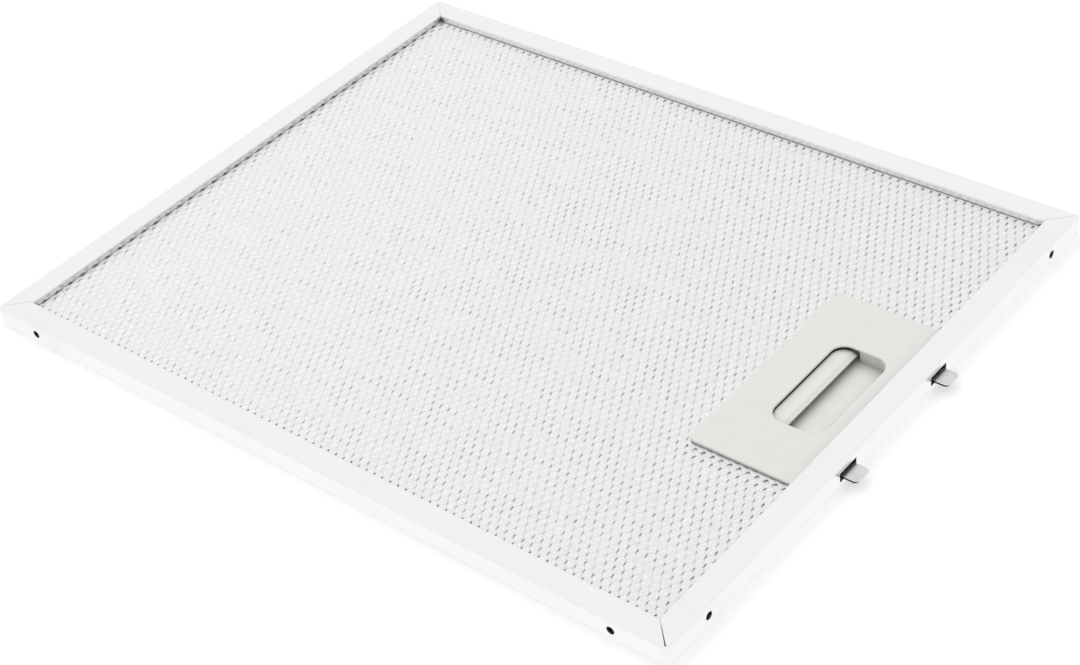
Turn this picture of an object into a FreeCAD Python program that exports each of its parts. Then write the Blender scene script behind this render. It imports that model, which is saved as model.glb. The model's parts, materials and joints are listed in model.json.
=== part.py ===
# Cooker hood grease filter. A folded aluminium frame holds a pack of expanded metal sheets and a
# sprung latch handle, whose two tongues hold the filter in its hood.
# The filter lies on its back rim with the handle up. X runs towards the latch edge and Z is up.
# The origin is on the resting plane, under the middle of the whole filter, tongues included.

import FreeCAD, Part
import math
import os
import re
import Sketcher

Vector = FreeCAD.Vector

# Driving dimensions in millimetres, and counts of what repeats
SIZES = {
    # Frame: one strip folded to a channel and bent round four corners
    "frame_length": 320.0,
    "frame_width": 260.0,
    "frame_height": 8.5,
    "sheet_thickness": 0.7,
    "bend_radius": 1.1,
    "corner_radius": 1.5,
    "flange_width": 10.0,
    "lip_depth": 3.0,
    "mitre_gap": 0.06,
    "mitre_mouth": 0.3,
    "relief_width": 0.6,
    "relief_inset": 1.5,
    "lip_relief": 2.5,
    "drain_diameter": 3.2,
    "drain_inset": 22.0,
    "slot_width": 10.0,
    "slot_height": 3.9,
    "slot_drop": 2.7,
    # Mesh pack: two louvred face sheets with finer flat layers between them
    "mesh_clearance": 0.3,
    "face_height": 0.8,
    "strand_thickness": 0.5,
    "face_rows": 21,
    "inner_layers": 3,
    "inner_rows": 5,
    "gaps_per_row": 5,
    "gap_length": 34.0,
    "gap_width": 12.0,
    # Handle housing: a bezel over a tray, clamped on the edge of the mesh
    "handle_length": 42.7,
    "handle_width": 93.8,
    "handle_clearance": 0.3,
    "plate_thickness": 0.9,
    "plate_corner_radius": 3.5,
    "plate_chamfer": 0.3,
    "plate_rim": 0.45,
    "clamp_overlap": 2.4,
    "opening_length": 21.4,
    "opening_width": 45.6,
    "opening_inset": 5.0,
    "opening_corner_radius": 5.5,
    "recess_length": 12.9,
    "recess_wall": 1.0,
    "tray_lift": 0.4,
    "tray_floor": 0.7,
    "tray_wall": 1.0,
    "tray_corner_radius": 2.0,
    "rim_thickness": 1.0,
    "guide_wall": 1.0,
    "guide_height": 3.0,
    "window_clearance": 0.4,
    "tab_length": 7.8,
    "tab_width": 32.0,
    "tab_clearance": 0.1,
    # Latch: a finger bar on a yoke with two arms, a steel tongue in each arm and a spring behind each arm
    "latch_travel": 6.5,
    "slide_clearance": 0.3,
    "bar_gap": 0.1,
    "bar_overlap": 0.1,
    "bar_drop": 1.3,
    "bar_top_width": 5.4,
    "bar_top_fall": 0.6,
    "nose_width": 1.8,
    "nose_fall": 0.8,
    "nose_thickness": 0.4,
    "nose_overhang": 4.0,
    "arm_width": 7.5,
    "arm_margin": 0.2,
    "tongue_offset": 28.7,
    "tongue_width": 8.0,
    "tongue_thickness": 0.7,
    "tongue_reach": 6.0,
    "tongue_drop": 4.5,
    "tongue_tip_radius": 1.6,
    "root_length": 12.0,
    "root_width": 5.0,
    "root_clearance": 0.05,
    "peg_width": 2.0,
    "spring_diameter": 3.2,
    "spring_wire": 0.45,
    "spring_turns": 7,
    "spring_clearance": 0.1,
    "post_width": 1.3,
    "tray_post_length": 2.5,
    "bar_post_length": 2.0,
    # Screws from the back, through the tray's bosses into the bezel's pillars
    "boss_diameter": 5.0,
    "boss_inset": 3.0,
    "boss_height": 1.9,
    "screw_diameter": 2.0,
    "screw_clearance": 0.1,
    "screw_head_diameter": 3.6,
    "screw_head_height": 1.1,
    "screw_grip": 1.6,
    "screw_recess": 0.8,
    "screw_recess_depth": 0.6,
}

# Places that follow from the driving dimensions, measured from the middle of the frame
PLACES = {
    "wall_x": "frame_length / 2",
    "wall_y": "frame_width / 2",
    "window_x": "wall_x - flange_width",
    "window_y": "wall_y - flange_width",
    "pack_low": "lip_depth",
    "pack_high": "frame_height - lip_depth",
    "mesh_x": "wall_x - sheet_thickness - mesh_clearance",
    "mesh_y": "wall_y - sheet_thickness - mesh_clearance",
    "row_lean": "face_height - strand_thickness",
    "layer_height": "(pack_high - pack_low - 2 * face_height) / inner_layers",
    "gap_pitch": "2 * window_y / gaps_per_row",
    "slot_high": "frame_height - slot_drop",
    "slot_low": "slot_high - slot_height",
    "tongue_high": "frame_height - tongue_drop",
    "tongue_low": "tongue_high - tongue_thickness",
    "plate_high": "pack_high + plate_thickness",
    "housing_end": "window_x - handle_clearance",
    "housing_start": "housing_end - handle_length",
    "housing_y": "handle_width / 2",
    "notch_x": "housing_start + clamp_overlap",
    "notch_y": "housing_y - clamp_overlap",
    "tub_start": "notch_x + mesh_clearance",
    "tub_y": "notch_y - mesh_clearance",
    "tub_inside_start": "tub_start + tray_wall",
    "tub_inside_end": "housing_end - tray_wall",
    "tub_inside_y": "tub_y - tray_wall",
    "floor_high": "tray_lift + tray_floor",
    "opening_end": "housing_end - opening_inset",
    "opening_start": "opening_end - opening_length",
    "opening_y": "opening_width / 2",
    "recess_start": "opening_end - recess_length",
    "bar_start": "opening_start + bar_gap",
    "bar_crease": "bar_start + bar_top_width",
    "bar_end": "bar_crease + nose_width",
    "bar_y": "opening_y + bar_overlap",
    "bar_high": "plate_high - bar_drop",
    "crease_high": "bar_high - bar_top_fall",
    "nose_high": "crease_high - nose_fall",
    "nose_low": "nose_high - nose_thickness",
    "yoke_low": "floor_high + slide_clearance",
    "arm_high": "pack_high - slide_clearance",
    "arm_outside": "tongue_offset + tongue_width / 2 + arm_margin",
    "arm_inside": "arm_outside - arm_width",
    "arm_end": "tub_inside_end - slide_clearance",
    "guide_start": "bar_start - latch_travel",
    "root_start": "arm_end - root_length",
    "peg_x": "arm_end - root_length / 2",
    "tongue_end": "wall_x + tongue_reach",
    "spring_height": "(yoke_low + arm_high) / 2",
    "boss_x": "(tub_inside_start + tub_inside_end) / 2",
    "boss_y": "tub_inside_y - boss_inset",
    "boss_high": "floor_high + boss_height",
    "head_seat": "tray_lift + screw_head_height + screw_clearance",
    "screw_hole": "screw_diameter + 2 * screw_clearance",
    "head_hole": "screw_head_diameter + 2 * screw_clearance",
}

SPRING_SEGMENTS = 8
SPRING_WIRE_SIDES = 5
CUT_MARGIN = "1"
FLAT = 1e-4
SMALLEST_CUT = 1e-6
SIDES = {"left": 1, "right": -1}

doc = FreeCAD.newDocument("grease_filter")
sheet = doc.addObject("Spreadsheet::Sheet", "Sizes")
for row, (alias, size) in enumerate(SIZES.items(), start=1):
    sheet.set(f"A{row}", alias)
    sheet.set(f"B{row}", str(size))
    sheet.setAlias(f"B{row}", alias)
doc.recompute()


# Names and numbers

def bound(text):
    """An expression on the sheet's cells, with every place spelled out."""
    def spell(match):
        name = match.group()
        if name in SIZES:
            return "Sizes." + name
        if name in PLACES:
            return "(" + bound(PLACES[name]) + ")"
        return name
    return re.sub(r"[a-z_]\w*", spell, str(text))


def value(text):
    """What an expression comes to now."""
    return float(sheet.evalExpression(bound(text)))


# Sketches

def new_body(label):
    """An empty body whose own frame has the middle of the filter's frame at X zero."""
    body = doc.addObject("PartDesign::Body", label)
    body.Label = label
    body.setExpression("Placement.Base.x", bound("-tongue_reach / 2"))
    return body


def origin_feature(body, role):
    """The body's own origin plane or axis with this role."""
    for feature in body.Origin.OriginFeatures:
        if feature.Role == role:
            return feature


def sketch_on(body, plane, level="0"):
    """A sketch on an origin plane, moved along the plane's normal: +Z, -Y or +X."""
    sketch = body.newObject("Sketcher::SketchObject", body.Name + "_sketch")
    sketch.AttachmentSupport = (origin_feature(body, plane), [""])
    sketch.MapMode = "FlatFace"
    sketch.setExpression("AttachmentOffset.Base.z", bound(level))
    return sketch


def constrain(sketch, kind, *where, size):
    """A dimension of the sketch that follows an expression."""
    index = sketch.addConstraint(Sketcher.Constraint(kind, *where, value(size)))
    sketch.setExpression(f"Constraints[{index}]", bound(size))


def polygon(sketch, corners):
    """A closed outline of straight lines, each corner held at its own place."""
    points = [Vector(value(x), value(y), 0) for x, y in corners]
    lines = [sketch.addGeometry(Part.LineSegment(start, end))
             for start, end in zip(points, points[1:] + points[:1])]
    for line, following in zip(lines, lines[1:] + lines[:1]):
        sketch.addConstraint(Sketcher.Constraint("Coincident", line, 2, following, 1))
    for line, (x, y) in zip(lines, corners):
        constrain(sketch, "DistanceX", -1, 1, line, 1, size=x)
        constrain(sketch, "DistanceY", -1, 1, line, 1, size=y)


def outline(sketch, corners):
    """A closed outline of level and upright lines. A corner with a third value is rounded to it."""
    points = [Vector(value(corner[0]), value(corner[1]), 0) for corner in corners]
    radii = [value(corner[2]) if len(corner) > 2 else 0 for corner in corners]
    count = len(corners)
    heading = [(points[(i + 1) % count] - points[i]).normalize() for i in range(count)]
    lines = []
    for i in range(count):
        start = points[i] + heading[i] * radii[i]
        end = points[(i + 1) % count] - heading[i] * radii[(i + 1) % count]
        lines.append(sketch.addGeometry(Part.LineSegment(start, end)))
    for i, line in enumerate(lines):
        if abs(heading[i].x) > abs(heading[i].y):
            sketch.addConstraint(Sketcher.Constraint("Horizontal", line))
            constrain(sketch, "DistanceY", -1, 1, line, 1, size=corners[i][1])
        else:
            sketch.addConstraint(Sketcher.Constraint("Vertical", line))
            constrain(sketch, "DistanceX", -1, 1, line, 1, size=corners[i][0])
    for i, corner in enumerate(corners):
        if radii[i]:
            round_corner(sketch, lines[i - 1], lines[i], points[i], heading[i - 1], heading[i], corner[2])
        else:
            sketch.addConstraint(Sketcher.Constraint("Coincident", lines[i - 1], 2, lines[i], 1))


def round_corner(sketch, line_in, line_out, corner, heading_in, heading_out, radius):
    """A quarter circle, tangent to the two lines that meet at a corner of an outline."""
    reach = value(radius)
    centre = corner - heading_in * reach + heading_out * reach
    middle = centre + (corner - centre).normalize() * reach
    arc = Part.Arc(corner - heading_in * reach, middle, corner + heading_out * reach)
    index = sketch.addGeometry(arc)
    turns_left = heading_in.cross(heading_out).z > 0
    first, last = (1, 2) if turns_left else (2, 1)
    sketch.addConstraint(Sketcher.Constraint("Tangent", line_in, 2, index, first))
    sketch.addConstraint(Sketcher.Constraint("Tangent", index, last, line_out, 1))
    constrain(sketch, "Radius", index, size=radius)


def rectangle(sketch, x_low, x_high, y_low, y_high, radius=None):
    """A rectangle between two corners, with all four corners rounded if a radius is given."""
    rounded = (radius,) if radius else ()
    places = ((x_low, y_low), (x_high, y_low), (x_high, y_high), (x_low, y_high))
    outline(sketch, [place + rounded for place in places])


def square(sketch, x, y, width):
    """A square about its middle."""
    half = f"({width}) / 2"
    rectangle(sketch, f"{x} - {half}", f"{x} + {half}", f"{y} - {half}", f"{y} + {half}")


def circle(sketch, x, y, diameter):
    """A circle held by its centre and diameter."""
    disc = Part.Circle(Vector(value(x), value(y), 0), Vector(0, 0, 1), value(diameter) / 2)
    index = sketch.addGeometry(disc)
    constrain(sketch, "DistanceX", -1, 1, index, 3, size=x)
    constrain(sketch, "DistanceY", -1, 1, index, 3, size=y)
    constrain(sketch, "Diameter", index, size=diameter)


# Features

def pad(body, sketch, length, backwards=False, both_ways=False):
    """Material along the sketch's normal, against it, or half each way."""
    feature = body.newObject("PartDesign::Pad", body.Name + "_pad")
    feature.Profile = sketch
    feature.Reversed = backwards
    feature.SideType = "Symmetric" if both_ways else "One side"
    feature.setExpression("Length", bound(length))
    return feature


def pocket(body, sketch, depth=None, along_normal=False):
    """A cut against the sketch's normal, or along it. Without a depth it goes right through."""
    feature = body.newObject("PartDesign::Pocket", body.Name + "_pocket")
    feature.Profile = sketch
    feature.Reversed = along_normal
    if depth:
        feature.setExpression("Length", bound(depth))
    else:
        feature.Type = "ThroughAll"
    return feature


def linear_pattern(body, axis, spacing, count):
    """A row of copies along one of the body's axes, for use in a pattern."""
    pattern = doc.addObject("PartDesign::LinearPattern", body.Name + "_row")
    pattern.Direction = (origin_feature(body, axis), [""])
    pattern.setExpression("Length", bound(f"({count} - 1) * ({spacing})"))
    pattern.setExpression("Occurrences", bound(count))
    return pattern


def mirrored(body, plane):
    """A mirror image about one of the body's planes, for use in a pattern."""
    mirror = doc.addObject("PartDesign::Mirrored", body.Name + "_mirror")
    mirror.MirrorPlane = (origin_feature(body, plane), [""])
    return mirror


def repeat(body, features, transformations):
    """Copies of features, by each transformation in turn."""
    pattern = body.newObject("PartDesign::MultiTransform", body.Name + "_pattern")
    pattern.Originals = features
    pattern.Transformations = transformations
    body.Tip = pattern
    return pattern


def break_edges(body, size, chosen):
    """A chamfer on the edges of the body that a test on their boxes picks."""
    doc.recompute()
    base = body.Tip
    names = [f"Edge{i}" for i, edge in enumerate(base.Shape.Edges, start=1) if chosen(edge.BoundBox)]
    feature = body.newObject("PartDesign::Chamfer", body.Name + "_chamfer")
    feature.Base = (base, names)
    feature.setExpression("Size", bound(size))
    return feature


def level_at(box, height):
    """Whether a box is flat and lies at this height."""
    return abs(box.ZMin - height) < FLAT and abs(box.ZMax - height) < FLAT


# Frame

def make_frame():
    """The channel section, swept round a rectangle with mitred corners, then notched and pierced."""
    frame = new_body("frame")
    path = sketch_on(frame, "XY_Plane")
    rectangle(path, "-wall_x", "wall_x", "-wall_y", "wall_y")
    section = sketch_on(frame, "XZ_Plane", "wall_y")
    outline(section, [
        ("wall_x", "0", "bend_radius"),
        ("wall_x", "frame_height", "bend_radius"),
        ("window_x", "frame_height", "bend_radius"),
        ("window_x", "pack_high"),
        ("window_x + sheet_thickness", "pack_high"),
        ("window_x + sheet_thickness", "frame_height - sheet_thickness"),
        ("wall_x - sheet_thickness", "frame_height - sheet_thickness"),
        ("wall_x - sheet_thickness", "sheet_thickness"),
        ("window_x + sheet_thickness", "sheet_thickness"),
        ("window_x + sheet_thickness", "pack_low"),
        ("window_x", "pack_low"),
        ("window_x", "0", "bend_radius"),
    ])
    channel = frame.newObject("PartDesign::AdditivePipe", "frame_channel")
    channel.Profile = section
    channel.Spine = (path, [])
    channel.Transition = "Right corner"
    corner = [cut_corner_bend(frame), cut_mitre(frame, "mitre_gap")]
    lips = [cut_end_of_long_lip(frame), cut_end_of_short_lip(frame)]
    drains = [drain_in_long_wall(frame), drain_in_short_wall(frame)]
    repeat(frame, corner + lips + drains, [mirrored(frame, "YZ_Plane"), mirrored(frame, "XZ_Plane")])
    cut_mitre(frame, "mitre_mouth")
    cut_relief(frame)
    cut_closing_seam(frame)
    cut_latch_slots(frame)
    return frame


def cut_corner_bend(frame):
    """The upright corner, where the strip is bent round, is rounded off."""
    sketch = sketch_on(frame, "XY_Plane")
    outline(sketch, [
        ("wall_x - 2 * corner_radius", "-wall_y"),
        ("wall_x - 2 * corner_radius", f"-wall_y - {CUT_MARGIN}"),
        (f"wall_x + {CUT_MARGIN}", f"-wall_y - {CUT_MARGIN}"),
        (f"wall_x + {CUT_MARGIN}", "2 * corner_radius - wall_y"),
        ("wall_x", "2 * corner_radius - wall_y"),
        ("wall_x", "-wall_y", "corner_radius"),
    ])
    return pocket(frame, sketch, along_normal=True)


def cut_mitre(frame, mouth):
    """The narrow gap between the flanges of two sides. One corner gapes to a wider mouth at the outer end."""
    sketch = sketch_on(frame, "XY_Plane")
    inner = "mitre_gap / 2"
    outer = f"{mouth} / 2"
    inner_x = f"window_x - {CUT_MARGIN}"
    inner_y = f"{CUT_MARGIN} - window_y"
    outer_x = "wall_x - relief_inset"
    outer_y = "relief_inset - wall_y"
    polygon(sketch, [
        (f"{inner_x} - {inner}", f"{inner_y} - {inner}"),
        (f"{outer_x} - {outer}", f"{outer_y} - {outer}"),
        (f"{outer_x} + {outer}", f"{outer_y} + {outer}"),
        (f"{inner_x} + {inner}", f"{inner_y} + {inner}"),
    ])
    return pocket(frame, sketch, along_normal=True)


def cut_relief(frame):
    """The punched notch at the outer end of the gaping mitre, where the fold lines meet."""
    sketch = sketch_on(frame, "XY_Plane")
    square(sketch, "wall_x - relief_inset", "relief_inset - wall_y", "relief_width")
    return pocket(frame, sketch, along_normal=True)


def lip_end(sketch, corner, away):
    """The slanted ends of the upper and the lower lip, cut back so that they fold freely."""
    polygon(sketch, [
        (f"{corner} - {away} * sheet_thickness", "bend_radius"),
        (f"{corner} - {away} * sheet_thickness", "frame_height - bend_radius"),
        (f"{corner} + {away} * lip_relief", "pack_high"),
        (f"{corner} + {away} * lip_relief", "pack_low"),
    ])


def cut_end_of_long_lip(frame):
    sketch = sketch_on(frame, "XZ_Plane", "window_y")
    lip_end(sketch, "window_x", -1)
    return pocket(frame, sketch, "sheet_thickness", along_normal=True)


def cut_end_of_short_lip(frame):
    sketch = sketch_on(frame, "YZ_Plane", "window_x")
    lip_end(sketch, "-window_y", 1)
    return pocket(frame, sketch, "sheet_thickness", along_normal=True)


def drain_in_long_wall(frame):
    sketch = sketch_on(frame, "XZ_Plane", "wall_y")
    circle(sketch, "wall_x - drain_inset", "frame_height / 2", "drain_diameter")
    return pocket(frame, sketch, "2 * sheet_thickness")


def drain_in_short_wall(frame):
    sketch = sketch_on(frame, "YZ_Plane", "wall_x")
    circle(sketch, "drain_inset - wall_y", "frame_height / 2", "drain_diameter")
    return pocket(frame, sketch, "2 * sheet_thickness")


def cut_closing_seam(frame):
    """The two ends of the strip meet at one corner, so the mitre there runs on through the wall."""
    sketch = sketch_on(frame, "XY_Plane")
    half = "mitre_gap / 2"
    inner_x = "relief_inset - wall_x"
    inner_y = "wall_y - relief_inset"
    outer_x = f"-wall_x - {CUT_MARGIN}"
    outer_y = f"wall_y + {CUT_MARGIN}"
    polygon(sketch, [
        (f"{inner_x} - {half}", f"{inner_y} - {half}"),
        (f"{inner_x} + {half}", f"{inner_y} + {half}"),
        (f"{outer_x} + {half}", f"{outer_y} + {half}"),
        (f"{outer_x} - {half}", f"{outer_y} - {half}"),
    ])
    return pocket(frame, sketch, along_normal=True)


def cut_latch_slots(frame):
    sketch = sketch_on(frame, "YZ_Plane", "wall_x")
    for side in SIDES.values():
        middle = f"{side} * tongue_offset"
        rectangle(sketch, f"{middle} - slot_width / 2", f"{middle} + slot_width / 2", "slot_low", "slot_high")
    return pocket(frame, sketch, "2 * sheet_thickness")


# Mesh pack

def make_face_mesh(label, low):
    """An expanded sheet: rows of strands that lean like louvres, with staggered slits between them."""
    mesh = new_body(label)
    pitch = "2 * mesh_x / face_rows"
    strand = sketch_on(mesh, "XZ_Plane")
    polygon(strand, [
        ("-mesh_x", f"{low} + row_lean"),
        (f"{pitch} - mesh_x", low),
        (f"{pitch} - mesh_x", f"{low} + strand_thickness"),
        ("-mesh_x", f"{low} + face_height"),
    ])
    first_row = pad(mesh, strand, "2 * mesh_y", both_ways=True)
    repeat(mesh, [first_row], [linear_pattern(mesh, "X_Axis", pitch, "face_rows")])
    cut_gaps(mesh, pitch, "face_rows")
    cut_handle_notch(mesh)
    return mesh


def make_inner_layer(number):
    """A finer sheet of the pack, with its own slits."""
    mesh = new_body(f"inner_mesh_layer_{number}")
    sketch = sketch_on(mesh, "XY_Plane", f"pack_low + face_height + {number - 1} * layer_height")
    rectangle(sketch, "-mesh_x", "mesh_x", "-mesh_y", "mesh_y")
    pad(mesh, sketch, "layer_height")
    cut_gaps(mesh, "2 * mesh_x / inner_rows", "inner_rows")
    cut_handle_notch(mesh)
    return mesh


def cut_gaps(mesh, pitch, rows):
    """Diamond slits where two rows meet, shifted by half a slit from one row to the next."""
    for shift, columns in ((0, f"floor({rows} / 2)"), (1, f"floor(({rows} - 1) / 2)")):
        across = f"gaps_per_row - {shift}"
        x = f"{1 + shift} * {pitch} - mesh_x"
        y = f"-(gaps_per_row - 1 - {shift}) / 2 * gap_pitch"
        sketch = sketch_on(mesh, "XY_Plane")
        polygon(sketch, [
            (f"{x} - gap_width / 2", y),
            (x, f"{y} - gap_length / 2"),
            (f"{x} + gap_width / 2", y),
            (x, f"{y} + gap_length / 2"),
        ])
        gap = pocket(mesh, sketch, along_normal=True)
        repeat(mesh, [gap], [
            linear_pattern(mesh, "X_Axis", f"2 * {pitch}", columns),
            linear_pattern(mesh, "Y_Axis", "gap_pitch", across),
        ])


def cut_handle_notch(mesh):
    """The sheet is cut away for the handle, as far as the latch edge."""
    sketch = sketch_on(mesh, "XY_Plane")
    rectangle(sketch, "notch_x", f"mesh_x + {CUT_MARGIN}", "-notch_y", "notch_y")
    return pocket(mesh, sketch, along_normal=True)


# Handle housing

def housing_outline(sketch):
    """The handle seen from above: rounded towards the mesh, square at the frame's lip."""
    outline(sketch, [
        ("housing_end", "-housing_y"),
        ("housing_end", "housing_y"),
        ("housing_start", "housing_y", "plate_corner_radius"),
        ("housing_start", "-housing_y", "plate_corner_radius"),
    ])


def boss_circles(sketch, diameter):
    """Two circles on the screws' axes, one at each end of the handle."""
    for side in SIDES.values():
        circle(sketch, "boss_x", f"{side} * boss_y", diameter)


def make_bezel():
    """The plate round the finger opening, with the recess walls and the screws' pillars below it."""
    bezel = new_body("handle_bezel")
    plate = sketch_on(bezel, "XY_Plane", "pack_high")
    housing_outline(plate)
    pad(bezel, plate, "plate_thickness")
    opening = sketch_on(bezel, "XY_Plane", "plate_high")
    rectangle(opening, "opening_start", "opening_end", "-opening_y", "opening_y", "opening_corner_radius")
    pocket(bezel, opening, "plate_thickness")
    thin_rim(bezel)
    walls = sketch_on(bezel, "XY_Plane", "floor_high")
    outline(walls, [
        ("recess_start", "-opening_y - recess_wall"),
        ("opening_end + recess_wall", "-opening_y - recess_wall", "opening_corner_radius + recess_wall"),
        ("opening_end + recess_wall", "opening_y + recess_wall", "opening_corner_radius + recess_wall"),
        ("recess_start", "opening_y + recess_wall"),
        ("recess_start", "opening_y"),
        ("opening_end", "opening_y", "opening_corner_radius"),
        ("opening_end", "-opening_y", "opening_corner_radius"),
        ("recess_start", "-opening_y"),
    ])
    pad(bezel, walls, "pack_high - floor_high")
    pillars = sketch_on(bezel, "XY_Plane", "boss_high")
    boss_circles(pillars, "boss_diameter")
    pad(bezel, pillars, "pack_high - boss_high")
    holes = sketch_on(bezel, "XY_Plane", "boss_high")
    boss_circles(holes, "screw_hole")
    pocket(bezel, holes, "screw_grip + 2 * screw_clearance", along_normal=True)
    top = value("plate_high")
    break_edges(bezel, "plate_chamfer", lambda box: level_at(box, top))
    return bezel


def thin_rim(bezel):
    """The plate is thinner from below over the path of the finger bar."""
    sketch = sketch_on(bezel, "XY_Plane", "pack_high")
    reach = "bar_y + slide_clearance"
    rectangle(sketch, "bar_start - latch_travel - slide_clearance", "recess_start", f"-({reach})", reach)
    pocket(bezel, sketch, "plate_thickness - plate_rim", along_normal=True)


def make_tray():
    """The tub under the bezel. Its rim clamps the mesh from behind and its tab holds in the frame."""
    tray = new_body("handle_tray")
    rim = sketch_on(tray, "XY_Plane", "pack_low - rim_thickness")
    housing_outline(rim)
    pad(tray, rim, "rim_thickness")
    tub = sketch_on(tray, "XY_Plane", "tray_lift")
    rectangle(tub, "tub_start", "housing_end", "-tub_y", "tub_y", "tray_corner_radius")
    pad(tray, tub, "pack_high - tray_lift")
    inside = sketch_on(tray, "XY_Plane", "pack_high")
    rectangle(inside, "tub_inside_start", "tub_inside_end", "-tub_inside_y", "tub_inside_y",
              "tray_corner_radius - tray_wall")
    pocket(tray, inside, "pack_high - floor_high")
    bosses = sketch_on(tray, "XY_Plane", "floor_high")
    boss_circles(bosses, "boss_diameter")
    pad(tray, bosses, "boss_height")
    add_slider_guides(tray)
    add_spring_posts(tray, "tub_inside_start", "tray_post_length")
    add_frame_tab(tray)
    cut_tongue_windows(tray)
    shanks = sketch_on(tray, "XY_Plane", "tray_lift")
    boss_circles(shanks, "screw_hole")
    pocket(tray, shanks, along_normal=True)
    heads = sketch_on(tray, "XY_Plane", "tray_lift")
    boss_circles(heads, "head_hole")
    pocket(tray, heads, "head_seat - tray_lift", along_normal=True)
    return tray


def add_slider_guides(tray):
    """A rib along the outside of each arm of the slider."""
    sketch = sketch_on(tray, "XY_Plane", "floor_high")
    near = "arm_outside + slide_clearance"
    far = f"{near} + guide_wall"
    rectangle(sketch, "guide_start", "tub_inside_end", near, far)
    rectangle(sketch, "guide_start", "tub_inside_end", f"-({far})", f"-({near})")
    pad(tray, sketch, "guide_height")


def add_spring_posts(body, start, length, backwards=False):
    """A short post that centres the end of each spring."""
    sketch = sketch_on(body, "YZ_Plane", start)
    for side in SIDES.values():
        square(sketch, f"{side} * tongue_offset", "spring_height", "post_width")
    pad(body, sketch, length, backwards)


def add_frame_tab(tray):
    """The tab that enters the frame's channel between its lips."""
    sketch = sketch_on(tray, "XY_Plane", "pack_low + tab_clearance")
    rectangle(sketch, "tub_inside_end", "housing_end + tab_length", "-tab_width / 2", "tab_width / 2")
    pad(tray, sketch, "pack_high - pack_low - 2 * tab_clearance")


def cut_tongue_windows(tray):
    """The windows in the end wall through which the tongues slide."""
    sketch = sketch_on(tray, "YZ_Plane", "housing_end")
    reach = "tongue_width / 2 + window_clearance"
    for side in SIDES.values():
        middle = f"{side} * tongue_offset"
        rectangle(sketch, f"{middle} - ({reach})", f"{middle} + {reach}",
                  "tongue_low - window_clearance", "tongue_high + window_clearance")
    pocket(tray, sketch, "tray_wall")


# Latch

def make_slider():
    """The finger bar on its yoke and arms. Each arm has a slot with a peg, which holds a tongue."""
    slider = new_body("latch_slider")
    bar = sketch_on(slider, "XY_Plane", "nose_low")
    outline(bar, [
        ("bar_end", "-bar_y"),
        ("bar_end", "bar_y"),
        ("bar_start", "bar_y", "opening_corner_radius"),
        ("bar_start", "-bar_y", "opening_corner_radius"),
    ])
    pad(slider, bar, f"bar_high - nose_low + {CUT_MARGIN}")
    slope_finger_bar(slider)
    yoke = sketch_on(slider, "XY_Plane", "yoke_low")
    rectangle(yoke, "bar_start", "bar_end - nose_overhang", "-arm_outside", "arm_outside")
    pad(slider, yoke, "nose_low - yoke_low")
    arms = sketch_on(slider, "XY_Plane", "yoke_low")
    rectangle(arms, "bar_start", "arm_end", "arm_inside", "arm_outside")
    rectangle(arms, "bar_start", "arm_end", "-arm_outside", "-arm_inside")
    pad(slider, arms, "arm_high - yoke_low")
    slots = sketch_on(slider, "XY_Plane", "tongue_high")
    for side in SIDES.values():
        middle = f"{side} * tongue_offset"
        reach = "root_width / 2 + root_clearance"
        rectangle(slots, "root_start - root_clearance", f"arm_end + {CUT_MARGIN}",
                  f"{middle} - ({reach})", f"{middle} + {reach}")
        square(slots, "peg_x", middle, "peg_width")
    pocket(slider, slots, "tongue_thickness")
    add_spring_posts(slider, "bar_start", "bar_post_length", backwards=True)
    return slider


def slope_finger_bar(slider):
    """The top of the bar falls gently to a crease, then steeply to the nose that the fingers hook."""
    sketch = sketch_on(slider, "XZ_Plane", "bar_y")
    behind = f"bar_start - {CUT_MARGIN}"
    before = f"bar_end + {CUT_MARGIN}"
    above = f"bar_high + 2 * {CUT_MARGIN}"
    polygon(sketch, [
        (behind, f"bar_high + {CUT_MARGIN} * bar_top_fall / bar_top_width"),
        ("bar_crease", "crease_high"),
        ("bar_end", "nose_high"),
        (before, "nose_high"),
        (before, above),
        (behind, above),
    ])
    return pocket(slider, sketch)


def make_tongue(name, side):
    """A flat steel tongue: a narrow root with a square hole for the peg, and a blade with round corners."""
    tongue = new_body(f"latch_tongue_{name}")
    sketch = sketch_on(tongue, "XY_Plane", "tongue_low")
    middle = f"{side} * tongue_offset"
    outline(sketch, [
        ("root_start", f"{middle} - root_width / 2"),
        ("arm_end", f"{middle} - root_width / 2"),
        ("arm_end", f"{middle} - tongue_width / 2"),
        ("tongue_end", f"{middle} - tongue_width / 2", "tongue_tip_radius"),
        ("tongue_end", f"{middle} + tongue_width / 2", "tongue_tip_radius"),
        ("arm_end", f"{middle} + tongue_width / 2"),
        ("arm_end", f"{middle} + root_width / 2"),
        ("root_start", f"{middle} + root_width / 2"),
    ])
    square(sketch, "peg_x", middle, "peg_width + 2 * root_clearance")
    pad(tongue, sketch, "tongue_thickness")
    return tongue


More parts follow.
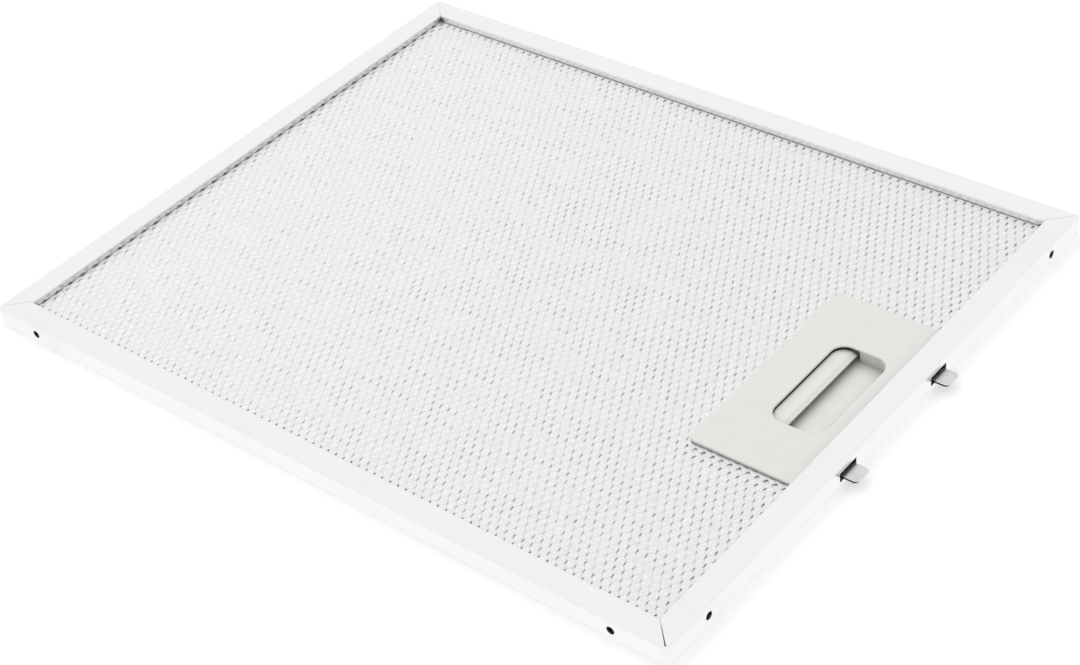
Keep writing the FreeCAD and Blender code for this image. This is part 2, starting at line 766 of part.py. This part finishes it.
def make_spring(name, side):
    """A compression spring between the tray's end wall and the finger bar."""
    wire = value("spring_wire")
    coil_radius = (value("spring_diameter") - wire) / 2
    start = value("tub_inside_start + spring_clearance") + wire / 2
    end = value("bar_start - spring_clearance") - wire / 2
    steps = int(value("spring_turns")) * SPRING_SEGMENTS
    points = []
    for step in range(steps + 1):
        angle = 2 * math.pi * step / SPRING_SEGMENTS
        points.append(Vector(start + (end - start) * step / steps,
                             coil_radius * math.cos(angle), coil_radius * math.sin(angle)))
    along = (points[1] - points[0]).normalize()
    outward = Vector(0, 1, 0)
    upward = along.cross(outward).normalize()
    outward = upward.cross(along)
    ring = []
    for corner in range(SPRING_WIRE_SIDES):
        angle = 2 * math.pi * corner / SPRING_WIRE_SIDES
        ring.append(points[0] + (outward * math.cos(angle) + upward * math.sin(angle)) * (wire / 2))
    section = Part.makePolygon(ring + ring[:1])
    right_corners = 1
    spring = doc.addObject("Part::Feature", f"latch_spring_{name}")
    spring.Label = f"latch_spring_{name}"
    spring.Shape = Part.makePolygon(points).makePipeShell([section], True, False, right_corners)
    place = Vector(value("-tongue_reach / 2"), side * value("tongue_offset"), value("spring_height"))
    spring.Placement = FreeCAD.Placement(place, FreeCAD.Rotation())
    return spring


def make_screws():
    """Two screws, turned about their own axes, with a slot across each head."""
    screws = new_body("handle_screws")
    half = sketch_on(screws, "XZ_Plane", "boss_y")
    outline(half, [
        ("boss_x", "tray_lift"),
        ("boss_x + screw_head_diameter / 2", "tray_lift"),
        ("boss_x + screw_head_diameter / 2", "head_seat"),
        ("boss_x + screw_diameter / 2", "head_seat"),
        ("boss_x + screw_diameter / 2", "boss_high + screw_grip"),
        ("boss_x", "boss_high + screw_grip"),
    ])
    turned = screws.newObject("PartDesign::Revolution", "handle_screws_turned")
    turned.Profile = half
    turned.ReferenceAxis = (half, ["Edge6"])
    turned.Angle = 360
    slot = sketch_on(screws, "XY_Plane", "tray_lift")
    rectangle(slot, "boss_x - screw_head_diameter / 2", "boss_x + screw_head_diameter / 2",
              "-boss_y - screw_recess / 2", "screw_recess / 2 - boss_y")
    recess = pocket(screws, slot, "screw_recess_depth", along_normal=True)
    repeat(screws, [turned, recess], [mirrored(screws, "XZ_Plane")])
    return screws


# The whole filter

parts = [make_frame()]
parts.append(make_face_mesh("back_face_mesh", "pack_low"))
for layer in range(1, int(value("inner_layers")) + 1):
    parts.append(make_inner_layer(layer))
parts.append(make_face_mesh("front_face_mesh", "pack_high - face_height"))
parts.append(make_bezel())
parts.append(make_tray())
parts.append(make_slider())
for side_name, side_sign in SIDES.items():
    parts.append(make_tongue(side_name, side_sign))
    parts.append(make_spring(side_name, side_sign))
parts.append(make_screws())
doc.recompute()

for item in doc.Objects:
    if "Invalid" in item.State or "Error" in item.State:
        raise RuntimeError(f"{item.Label} failed: {item.State}")
    if item.TypeId == "PartDesign::Pocket":
        if item.Shape.Volume > item.BaseFeature.Shape.Volume - SMALLEST_CUT:
            raise RuntimeError(f"{item.Label} cuts nothing")
for part in parts:
    if part.Shape.isNull() or not part.Shape.isValid():
        raise RuntimeError(f"{part.Label} has no valid shape")

os.makedirs("parts", exist_ok=True)
for part in parts:
    part.Shape.exportStep(f"parts/{part.Label}.step")
    print(part.Label, len(part.Shape.Solids), round(part.Shape.Volume, 1))
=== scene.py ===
# Cooker hood grease filter: finishes, expanded metal sheets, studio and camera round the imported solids.
import json
import math

import bpy
import numpy as np
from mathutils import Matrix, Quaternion, Vector


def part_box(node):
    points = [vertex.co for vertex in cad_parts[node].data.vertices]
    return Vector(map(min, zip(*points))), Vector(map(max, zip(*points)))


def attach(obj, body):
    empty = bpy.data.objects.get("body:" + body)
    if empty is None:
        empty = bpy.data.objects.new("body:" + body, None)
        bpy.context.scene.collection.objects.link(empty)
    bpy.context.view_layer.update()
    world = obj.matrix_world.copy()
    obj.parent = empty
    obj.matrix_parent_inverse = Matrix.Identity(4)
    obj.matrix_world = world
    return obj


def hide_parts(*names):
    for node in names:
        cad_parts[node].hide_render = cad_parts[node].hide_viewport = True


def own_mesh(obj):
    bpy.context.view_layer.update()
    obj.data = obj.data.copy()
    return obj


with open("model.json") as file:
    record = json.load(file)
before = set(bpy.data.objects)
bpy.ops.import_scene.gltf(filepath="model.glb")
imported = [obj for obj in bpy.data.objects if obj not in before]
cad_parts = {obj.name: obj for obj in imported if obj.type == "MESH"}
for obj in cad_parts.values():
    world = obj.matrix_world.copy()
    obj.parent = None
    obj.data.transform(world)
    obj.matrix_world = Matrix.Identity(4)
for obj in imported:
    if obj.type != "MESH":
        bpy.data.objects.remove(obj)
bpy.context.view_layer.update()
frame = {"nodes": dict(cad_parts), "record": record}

MM = 0.001

# Camera, from the frame's corners in the photograph
CAMERA_PLACE = Vector((0.4513, -0.4719, 0.5004))
CAMERA_AIM = Vector((0.0271, -0.0311, 0.0085))
CAMERA_ROLL = math.radians(-7.75)
CAMERA_LENS = 72.19
CAMERA_NEAR = 0.01

# Expanded metal: the openings' pitch and half size along X and Y, and their slant as a share of the half
# length
PITCH_X = 3.636 * MM
PITCH_Y = 6.566 * MM
OPENING_X = 0.31 * MM
OPENING_Y = 1.30 * MM
SLANT = 0.16

# Sheets: their foil, the crown of each bond, how uneven heights and widths are, the most that crown and
# uneven heights may take of a thin layer, and the number of layers inside
FACE_FOIL = 0.10 * MM
INNER_FOIL = 0.10 * MM
DOME = 0.14 * MM
UNEVEN = 0.07 * MM
UNEVEN_WIDTH = 0.12
DOME_MOST = 1 / 4
UNEVEN_MOST = 1 / 8
INNER_LAYERS = 3

# Creases of the strands: where they begin and have their middle, in pitches from a bond, how far they wander,
# in pitches too, over which length, and their depth as a share of the foil's relief
CREASE_FROM = 0.3
CREASE_MIDDLE = 0.5
CREASE_STIR = 0.12
CREASE_STIR_LENGTH = 2 * MM
CREASE_SHARE = 0.4

# Meshes: the angle from which an edge is sharp, and the smallest face that is kept
SHARP_RIM = math.radians(50)
SMALLEST_FACE = 1e-4 * MM * MM

# Handle plate: how far it overlaps the notch of every sheet
NOTCH_OVERLAP = 2.4 * MM

# Clamped edges of the front sheet: how far the frame's flange reaches in, and how the clamp draws the
# slits open along the near edge of the handle plate and, less so, along the frame's lips
FLANGE_REACH = 10.0 * MM
DRAWN_OPEN = 0.62
DRAWN_WIDTH = 2.8 * MM
LIP_SHARE = 0.55

# Studio: the floor's side and colour, how far it is lifted to white for the camera and how bright it is in
# the metal, where the sky is brightest and its least and greatest light, and the lamp's place, side and watts
FLOOR_SIDE = 8.0
FLOOR_COLOUR = (0.9, 0.9, 0.9, 1)
FLOOR_LIFT = 0.28
FLOOR_IN_METAL = 1.10
SKY_SIDE = Vector((-0.55, 0.55, 0.63)).normalized()
SKY_LOW = 0.21
SKY_HIGH = 1.09
WHITE = (1, 1, 1, 1)
LAMP_PLACE = Vector((-0.85, 0.30, 1.05))
LAMP_SIDE = 0.9
LAMP_WATTS = 5.0

# Shaders: samples for looking around a point, the range that most of a noise lies in, and the record's slots
SHADER_SAMPLES = 6
NOISE_LOW = 0.3
NOISE_HIGH = 0.7
SLOTS = {slot["slot"]: slot for slot in frame["record"]["materials"]}


# Materials

class Nodes:
    """A material's node tree, with its shader and the object's own coordinates."""

    def __init__(self, slot, metallic, lift=1.0):
        self.colour = [c * lift for c in SLOTS[slot]["base_color"]]
        self.material = bpy.data.materials.new(slot + "_finish")
        self.material.use_nodes = True
        self.tree = self.material.node_tree
        self.shader = self.tree.nodes["Principled BSDF"]
        self.shader.inputs["Metallic"].default_value = metallic
        coordinates = self.add("ShaderNodeTexCoord")
        self.place = coordinates.outputs["Object"]
        self.facing = coordinates.outputs["Normal"]

    def add(self, kind, **settings):
        node = self.tree.nodes.new(kind)
        for name, setting in settings.items():
            setattr(node, name, setting)
        return node

    def link(self, output, socket):
        self.tree.links.new(output, socket)

    def noise(self, size, stretch=(1, 1, 1), detail=3.0):
        """Noise with features of this size in metres, drawn out along the axes by the stretch."""
        mapping = self.add("ShaderNodeMapping")
        mapping.inputs["Scale"].default_value = [1 / (size * s) for s in stretch]
        self.link(self.place, mapping.inputs["Vector"])
        texture = self.add("ShaderNodeTexNoise")
        texture.inputs["Scale"].default_value = 1.0
        texture.inputs["Detail"].default_value = detail
        self.link(mapping.outputs["Vector"], texture.inputs["Vector"])
        return texture.outputs["Fac"]

    def maths(self, operation, *terms):
        """Arithmetic on sockets and numbers."""
        node = self.add("ShaderNodeMath", operation=operation)
        for term, socket in zip(terms, node.inputs):
            if isinstance(term, (int, float)):
                socket.default_value = term
            else:
                self.link(term, socket)
        return node.outputs[0]

    def ramp(self, fac, from_low, from_high, low, high):
        """One range turned into another, and no further."""
        ramp = self.add("ShaderNodeMapRange", clamp=True)
        ramp.inputs["From Min"].default_value = from_low
        ramp.inputs["From Max"].default_value = from_high
        ramp.inputs["To Min"].default_value = low
        ramp.inputs["To Max"].default_value = high
        self.link(fac, ramp.inputs["Value"])
        return ramp.outputs["Result"]

    def spread(self, fac, low, high):
        """The middle of a noise spread over a range."""
        return self.ramp(fac, NOISE_LOW, NOISE_HIGH, low, high)

    def tint(self, fac, amount):
        """The slot's colour, darker and lighter by the amount."""
        mix = self.add("ShaderNodeMix", data_type="RGBA")
        mix.inputs["A"].default_value = [c * (1 - amount) for c in self.colour] + [1]
        mix.inputs["B"].default_value = [min(1, c * (1 + amount)) for c in self.colour] + [1]
        self.link(self.spread(fac, 0, 1), mix.inputs["Factor"])
        self.link(mix.outputs["Result"], self.shader.inputs["Base Color"])
        return mix.outputs["Result"]

    def paint_shade(self, colour, fac, darkness):
        """Painted shade: the shader's colour, turned towards a darker one where the factor is high."""
        mix = self.add("ShaderNodeMix", data_type="RGBA")
        mix.inputs["B"].default_value = [c * (1 - darkness) for c in self.colour] + [1]
        self.link(fac, mix.inputs["Factor"])
        self.link(colour, mix.inputs["A"])
        self.link(mix.outputs["Result"], self.shader.inputs["Base Color"])

    def shade_from_occlusion(self, depth, local):
        """How far the surface is closed in by others within this depth, or by its own piece alone: a mask for
        painted shade.
        """
        light = self.add("ShaderNodeAmbientOcclusion", samples=SHADER_SAMPLES, only_local=local)
        light.inputs["Distance"].default_value = depth
        return self.maths("SUBTRACT", 1.0, light.outputs["AO"])

    def sides(self):
        """One on the sides across Y."""
        split = self.add("ShaderNodeSeparateXYZ")
        self.link(self.facing, split.inputs["Vector"])
        return self.maths("ABSOLUTE", split.outputs["Y"])

    def creases(self):
        """One along the middle of every strand of a face sheet, where it dips between two bonds."""
        waves = []
        for side in (1, -1):
            across = self.add("ShaderNodeVectorMath", operation="DOT_PRODUCT")
            across.inputs[1].default_value = (1 / PITCH_X, side / PITCH_Y, 0)
            self.link(self.place, across.inputs[0])
            stir = self.spread(self.noise(CREASE_STIR_LENGTH), -CREASE_STIR, CREASE_STIR)
            stirred = self.maths("ADD", across.outputs["Value"], stir)
            waves.append(self.maths("PINGPONG", stirred, CREASE_MIDDLE))
        return self.ramp(self.maths("MAXIMUM", *waves), CREASE_FROM, CREASE_MIDDLE, 0, 1)

    def rough(self, fac, low, high):
        """Roughness from low to high."""
        self.link(self.spread(fac, low, high), self.shader.inputs["Roughness"])

    def bump(self, fac, height, edge=None):
        """Relief of this height, and edges that look rounded to the edge radius."""
        bump = self.add("ShaderNodeBump")
        bump.inputs["Strength"].default_value = 1.0
        bump.inputs["Distance"].default_value = height
        self.link(fac, bump.inputs["Height"])
        if edge:
            bevel = self.add("ShaderNodeBevel", samples=SHADER_SAMPLES)
            bevel.inputs["Radius"].default_value = edge
            self.link(bevel.outputs["Normal"], bump.inputs["Normal"])
        self.link(bump.outputs["Normal"], self.shader.inputs["Normal"])


def strip_finish():
    """Rolled aluminium strip: fine grain along each side of the frame, which turns at the mitres, and painted
    shade where its own folds close it in.
    """
    nodes = Nodes("frame_aluminium", metallic=1.0, lift=1.04)
    low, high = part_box("frame")
    middle = [(a + b) / 2 for a, b in zip(low, high)]
    half = [(b - a) / 2 for a, b in zip(low, high)]
    split = nodes.add("ShaderNodeSeparateXYZ")
    nodes.link(nodes.place, split.inputs["Vector"])
    depth = []
    for axis in range(2):
        centred = nodes.maths("SUBTRACT", split.outputs[axis], middle[axis])
        depth.append(nodes.maths("SUBTRACT", nodes.maths("ABSOLUTE", centred), half[axis]))
    grain_width = 0.4 * MM
    grain_length = 60
    grain = nodes.add("ShaderNodeMix", data_type="FLOAT")
    nodes.link(nodes.maths("GREATER_THAN", *depth), grain.inputs["Factor"])
    nodes.link(nodes.noise(grain_width, (grain_length, 1, 1)), grain.inputs["A"])
    nodes.link(nodes.noise(grain_width, (1, grain_length, 1)), grain.inputs["B"])
    colour = nodes.tint(nodes.noise(40 * MM), amount=0.012)
    # Painted shade: the strip turns darker where its own folds close it in, as in the channel under the
    # flange.
    nodes.paint_shade(colour, nodes.shade_from_occlusion(depth=4 * MM, local=True), darkness=0.75)
    nodes.rough(grain.outputs["Result"], low=0.34, high=0.42)
    nodes.bump(grain.outputs["Result"], height=0.004 * MM)
    return nodes.material


def foil_finish(slot, rough_low, rough_high, creased=False):
    """Cut aluminium foil, partly matt: each strand a little lighter or darker than the next, and painted
    shade along the creases of face sheets.
    """
    nodes = Nodes(slot, metallic=0.4, lift=1.02)
    colour = nodes.tint(nodes.noise(1.3 * MM), amount=0.07)
    relief = nodes.noise(1.5 * MM)
    if creased:
        crease = nodes.creases()
        # Painted shade: darker along the creases, on top of their bumped dip in the relief.
        nodes.paint_shade(colour, crease, darkness=0.12)
        relief = nodes.maths("SUBTRACT", relief, nodes.maths("MULTIPLY", crease, CREASE_SHARE))
    nodes.rough(nodes.noise(0.8 * MM), rough_low, rough_high)
    nodes.bump(relief, height=0.10 * MM)
    return nodes.material


def moulded_finish(slot):
    """Matt moulded plastic with a fine spark-eroded grain, and painted shade where other parts close it in.
    """
    nodes = Nodes(slot, metallic=0.0)
    colour = nodes.tint(nodes.noise(6 * MM), amount=0.012)
    # Painted shade: the plastic turns darker where parts close it in, as in the recess by the bar and under
    # the plate.
    nodes.paint_shade(colour, nodes.shade_from_occlusion(depth=6 * MM, local=False), darkness=0.55)
    nodes.rough(nodes.noise(1.2 * MM), low=0.42, high=0.5)
    nodes.bump(nodes.noise(0.22 * MM, detail=2.0), height=0.006 * MM, edge=0.3 * MM)
    return nodes.material


def steel_finish(slot, rough_low, rough_high, stretch, painted_side_shade=0.0):
    """Drawn or rolled steel with its grain along one axis, and painted shade on its sides across Y where
    asked.
    """
    nodes = Nodes(slot, metallic=1.0, lift=1.06)
    grain = nodes.noise(0.12 * MM, stretch)
    colour = nodes.tint(nodes.noise(3 * MM), amount=0.05)
    # Painted shade: the faces across Y turn darker, standing in for the tongue's edge in shade.
    if painted_side_shade:
        nodes.paint_shade(colour, nodes.sides(), painted_side_shade)
    nodes.rough(grain, rough_low, rough_high)
    nodes.bump(grain, height=0.003 * MM)
    return nodes.material


def dress(node, finish):
    """A finish on a CAD node."""
    slots = frame["nodes"][node].material_slots
    if not slots:
        frame["nodes"][node].data.materials.append(finish)
    for slot in slots:
        slot.material = finish


# Expanded metal

def sheet_room(node):
    """The sheet's box, and the notch that the handle housing leaves in it."""
    low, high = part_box(node)
    plate_low, plate_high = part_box("handle_bezel")
    notch_x = plate_low[0] + NOTCH_OVERLAP
    notch_y = plate_high[1] - NOTCH_OVERLAP
    return low, high, notch_x, notch_y


def bonds_of(low, high, notch_x, notch_y, shift):
    """Where the strands of a sheet meet: a centred lattice, in half pitches, as far as the sheet goes."""
    step_x = PITCH_X / 2
    step_y = PITCH_Y / 2
    columns = np.arange(math.ceil(low[0] / step_x) - 1, math.floor(high[0] / step_x) + 2)
    rows = np.arange(math.ceil(low[1] / step_y) - 1, math.floor(high[1] / step_y) + 2)
    column, row = [grid.ravel() for grid in np.meshgrid(columns, rows, indexing="ij")]
    x = (column + shift) * step_x
    y = row * step_y
    reach_x = step_x - OPENING_X
    reach_y = step_y - OPENING_Y
    inside_x = (x - reach_x > low[0]) & (x + reach_x < high[0])
    inside_y = (y - reach_y > low[1]) & (y + reach_y < high[1])
    in_notch = (x - reach_x > notch_x) & (np.abs(y) + reach_y < notch_y)
    keep = inside_x & inside_y & ~in_notch & ((column + row) % 2 == 0)
    return column[keep], row[keep], x[keep], y[keep]


def expanded_sheet(name, node, foil, lean, seed, shift=0.0, drawn=0.0):
    """A sheet of expanded metal in the room of a CAD node. Its strands lean like louvres.

    Each bond is a diamond with a corner towards each opening beside it, and each strand joins an edge
    of one bond to an edge of the next. The corner that faces the lean is low and the other one high.
    """
    low, high, notch_x, notch_y = sheet_room(node)
    column, row, x, y = bonds_of(low, high, notch_x, notch_y, shift)
    count = len(x)
    reach_x = PITCH_X / 2 - OPENING_X
    reach_y = PITCH_Y / 2 - OPENING_Y
    room = high[2] - low[2] - foil
    uneven = min(UNEVEN, room * UNEVEN_MOST)
    dome = min(DOME, room * DOME_MOST)
    rise = room / 2 - uneven
    middle = (low[2] + high[2] + foil) / 2
    draw = np.random.RandomState(seed)
    slant = SLANT * OPENING_Y
    corner_x = np.array((reach_x, slant, -reach_x, -slant, 0))
    corner_y = np.array((0, reach_y, 0, -reach_y, 0))
    corner_z = np.array((-rise * lean, 0, rise * lean, 0, dome))
    points = len(corner_x)
    top = np.empty((count, points, 3))
    width = 1 - drawn * near_clamp(x, y) + draw.uniform(-UNEVEN_WIDTH, UNEVEN_WIDTH, count)
    top[:, :, 0] = x[:, None] + corner_x * width[:, None]
    top[:, :, 1] = y[:, None] + corner_y
    top[:, :, 2] = middle + corner_z + draw.uniform(-uneven, uneven, (count, points))
    cut_at_notch(top, notch_x, notch_y)
    right, upper, left, lower, crown = range(points)
    bonds = np.arange(count)[:, None] * points
    ring = (right, upper, left, lower)
    faces = [bonds + np.array((ring[k], ring[(k + 1) % 4], crown)) for k in range(4)]
    near, far = [bond * points for bond in neighbours(column, row, 1)]
    to_right = np.stack((near + right, far + lower, far + left, near + upper), axis=1)
    near, far = [bond * points for bond in neighbours(column, row, -1)]
    to_left = np.stack((near + upper, far + right, far + lower, near + left), axis=1)
    surface = [np.concatenate(faces), np.concatenate((to_right, to_left))]
    return thickened(name, top.reshape(-1, 3), surface, foil)


def neighbours(column, row, side):
    """The bonds that strands to one side leave, and those in the next row that they reach."""
    at = {place: index for index, place in enumerate(zip(column, row))}
    near = []
    far = []
    for index, (i, j) in enumerate(zip(column, row)):
        neighbour = at.get((i + side, j + 1))
        if neighbour is not None:
            near.append(index)
            far.append(neighbour)
    return np.array(near), np.array(far)


def near_clamp(x, y):
    """One along the near edge of the handle plate, less along the frame's lips, and zero elsewhere."""
    plate_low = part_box("handle_bezel")[0]
    away = (y - plate_low[1] + DRAWN_WIDTH) / DRAWN_WIDTH
    plate = np.exp(-away ** 2) * (x > plate_low[0])
    low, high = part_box("frame")
    clear = np.minimum(np.minimum(x - low[0], high[0] - x), np.minimum(y - low[1], high[1] - y))
    inwards = np.maximum(clear - FLANGE_REACH, 0) / DRAWN_WIDTH
    return np.maximum(plate, LIP_SHARE * np.exp(-inwards ** 2))


def cut_at_notch(top, notch_x, notch_y):
    """Points inside the notch go back to its nearest edge, so that the sheet ends in a straight cut."""
    past_x = top[:, :, 0] - notch_x
    past_y = notch_y - np.abs(top[:, :, 1])
    inside = (past_x > 0) & (past_y > 0)
    by_x = inside & (past_x < past_y)
    by_y = inside & ~by_x
    top[:, :, 0][by_x] = notch_x
    top[:, :, 1][by_y] = np.sign(top[:, :, 1][by_y]) * notch_y


def without_slivers(points, surface):
    """The points and faces that are left when faces without any area go."""
    kept = []
    for faces in surface:
        corners = points[faces]
        area = np.zeros(len(faces))
        for k in range(2, faces.shape[1]):
            across = np.cross(corners[:, k - 1] - corners[:, 0], corners[:, k] - corners[:, 0])
            area += np.linalg.norm(across, axis=1) / 2
        kept.append(faces[area > SMALLEST_FACE])
    used = np.unique(np.concatenate([faces.ravel() for faces in kept]))
    return points[used], [np.searchsorted(used, faces) for faces in kept]


def thickened(name, points, surface, thickness):
    """A closed mesh from a surface of triangles and quads, with a wall along every open edge."""
    points, surface = without_slivers(points, surface)
    total = len(points)
    edges = np.concatenate([np.stack((faces[:, k - 1], faces[:, k]), axis=1)
                            for faces in surface for k in range(faces.shape[1])])
    key = np.sort(edges, axis=1)
    key = key[:, 0] * total + key[:, 1]
    _, first, uses = np.unique(key, return_index=True, return_counts=True)
    rim = edges[first[uses == 1]]
    walls = np.stack((rim[:, 1], rim[:, 0], rim[:, 0] + total, rim[:, 1] + total), axis=1)
    below = points - np.array((0, 0, thickness))
    corners = np.concatenate((points, below))
    polygons = walls.tolist()
    for faces in surface:
        polygons += faces.tolist() + (faces[:, ::-1] + total).tolist()
    mesh = bpy.data.meshes.new(name)
    mesh.from_pydata(corners.tolist(), [], polygons)
    mesh.shade_smooth()
    mesh.set_sharp_from_angle(angle=SHARP_RIM)
    piece = bpy.data.objects.new(name, mesh)
    bpy.context.scene.collection.objects.link(piece)
    return piece


def add_sheet(node, foil, lean, seed, finish, shift=0.0, drawn=0.0):
    """An expanded sheet in place of a CAD mesh."""
    piece = expanded_sheet(node.replace("mesh", "expanded_metal"), node, foil, lean, seed, shift, drawn)
    piece.data.materials.append(finish)
    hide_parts(node)
    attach(piece, "filter")


# Springs

def add_spring(node, finish):
    """The CAD spring copied into a piece of its own, smooth shaded and finished, on the filter."""
    spring = bpy.data.objects.new(node.replace("spring", "coil_spring"), frame["nodes"][node].data.copy())
    bpy.context.scene.collection.objects.link(spring)
    spring.data.materials.clear()
    spring.data.materials.append(finish)
    spring.data.shade_smooth()
    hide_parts(node)
    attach(spring, "filter")
    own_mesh(spring)


# Studio

def plain_floor():
    """A white floor that keeps the filter's shadow. In reflections it is plain white."""
    bpy.ops.mesh.primitive_plane_add(size=FLOOR_SIDE)
    floor = bpy.context.object
    floor.name = "floor"
    finish = bpy.data.materials.new("floor_finish")
    finish.use_nodes = True
    tree = finish.node_tree
    tree.nodes.clear()
    diffuse = tree.nodes.new("ShaderNodeBsdfDiffuse")
    diffuse.inputs["Color"].default_value = FLOOR_COLOUR
    glow = tree.nodes.new("ShaderNodeEmission")
    glow.inputs["Strength"].default_value = FLOOR_LIFT
    lifted = tree.nodes.new("ShaderNodeAddShader")
    tree.links.new(diffuse.outputs[0], lifted.inputs[0])
    tree.links.new(glow.outputs[0], lifted.inputs[1])
    white = tree.nodes.new("ShaderNodeEmission")
    white.inputs["Strength"].default_value = FLOOR_IN_METAL
    seen = chosen(tree, ["Is Camera Ray"], diffuse, lifted)
    mirrored = chosen(tree, ["Is Glossy Ray", "Is Transmission Ray"], seen, white)
    output = tree.nodes.new("ShaderNodeOutputMaterial")
    tree.links.new(mirrored.outputs[0], output.inputs["Surface"])
    floor.data.materials.append(finish)


def chosen(tree, rays, usual, special):
    """One shader for these kinds of rays, and the usual one for all others."""
    path = tree.nodes.new("ShaderNodeLightPath")
    total = path.outputs[rays[0]]
    for name in rays[1:]:
        either = tree.nodes.new("ShaderNodeMath")
        either.operation = "MAXIMUM"
        tree.links.new(total, either.inputs[0])
        tree.links.new(path.outputs[name], either.inputs[1])
        total = either.outputs[0]
    choose = tree.nodes.new("ShaderNodeMixShader")
    tree.links.new(total, choose.inputs["Fac"])
    tree.links.new(usual.outputs[0], choose.inputs[1])
    tree.links.new(special.outputs[0], choose.inputs[2])
    return choose


def white_world():
    """White where it is seen. Its light on the object is stronger from one side, like a large soft box."""
    world = bpy.data.worlds.new("studio")
    bpy.context.scene.world = world
    world.use_nodes = True
    tree = world.node_tree
    tree.nodes.clear()
    light = tree.nodes.new("ShaderNodeBackground")
    towards = tree.nodes.new("ShaderNodeVectorMath")
    towards.operation = "DOT_PRODUCT"
    towards.inputs[1].default_value = SKY_SIDE
    tree.links.new(tree.nodes.new("ShaderNodeTexCoord").outputs["Generated"], towards.inputs[0])
    strength = tree.nodes.new("ShaderNodeMapRange")
    strength.inputs["From Min"].default_value = -1.0
    strength.inputs["From Max"].default_value = 1.0
    strength.inputs["To Min"].default_value = SKY_LOW
    strength.inputs["To Max"].default_value = SKY_HIGH
    tree.links.new(towards.outputs["Value"], strength.inputs["Value"])
    tree.links.new(strength.outputs["Result"], light.inputs["Strength"])
    white = tree.nodes.new("ShaderNodeBackground")
    for background in (light, white):
        background.inputs["Color"].default_value = WHITE
    seen = chosen(tree, ["Is Camera Ray", "Is Glossy Ray", "Is Transmission Ray"], light, white)
    output = tree.nodes.new("ShaderNodeOutputWorld")
    tree.links.new(seen.outputs[0], output.inputs["Surface"])


def key_lamp():
    """A large soft lamp, which the metal doesn't mirror."""
    data = bpy.data.lights.new("key_lamp", "AREA")
    data.size = LAMP_SIDE
    data.energy = LAMP_WATTS
    lamp = bpy.data.objects.new("key_lamp", data)
    lamp.location = LAMP_PLACE
    lamp.rotation_euler = (-LAMP_PLACE).to_track_quat("-Z", "Y").to_euler()
    lamp.visible_glossy = False
    bpy.context.scene.collection.objects.link(lamp)


def photo_camera():
    """The camera that took the photograph, as far as the frame's corners tell."""
    data = bpy.data.cameras.new("camera")
    data.sensor_fit = "HORIZONTAL"
    data.lens = CAMERA_LENS
    data.clip_start = CAMERA_NEAR
    camera = bpy.data.objects.new("camera", data)
    turn = (CAMERA_AIM - CAMERA_PLACE).to_track_quat("-Z", "Y") @ Quaternion((0, 0, 1), CAMERA_ROLL)
    camera.rotation_mode = "QUATERNION"
    camera.rotation_quaternion = turn
    camera.location = CAMERA_PLACE
    bpy.context.scene.collection.objects.link(camera)
    bpy.context.scene.camera = camera


# The whole filter

along_x = (40, 1, 1)
dress("frame", strip_finish())
moulding = moulded_finish("handle_plastic")
dress("handle_bezel", moulding)
dress("handle_tray", moulding)
dress("latch_slider", moulded_finish("latch_plastic"))
tongue_steel = steel_finish("tongue_steel", rough_low=0.25, rough_high=0.38, stretch=along_x, painted_side_shade=1.0)
spring_steel = steel_finish("spring_steel", rough_low=0.2, rough_high=0.3, stretch=along_x)
for hand in ("left", "right"):
    dress("latch_tongue_" + hand, tongue_steel)
    add_spring("latch_spring_" + hand, spring_steel)
dress("handle_screws", steel_finish("screw_steel", rough_low=0.25, rough_high=0.35, stretch=(1, 1, 1)))

face_finish = foil_finish("mesh_aluminium", rough_low=0.26, rough_high=0.4, creased=True)
inner_finish = foil_finish("inner_mesh_aluminium", rough_low=0.3, rough_high=0.45)
add_sheet("front_face_mesh", FACE_FOIL, lean=1, seed=11, finish=face_finish,
          drawn=DRAWN_OPEN)
add_sheet("back_face_mesh", FACE_FOIL, lean=1, seed=12, finish=face_finish)
for number in range(1, INNER_LAYERS + 1):
    add_sheet(f"inner_mesh_layer_{number}", INNER_FOIL, lean=-1 if number % 2 else 1, seed=20 + number,
              finish=inner_finish, shift=number / INNER_LAYERS)

plain_floor()
white_world()
key_lamp()
photo_camera()
bpy.context.scene.view_settings.view_transform = "Standard"
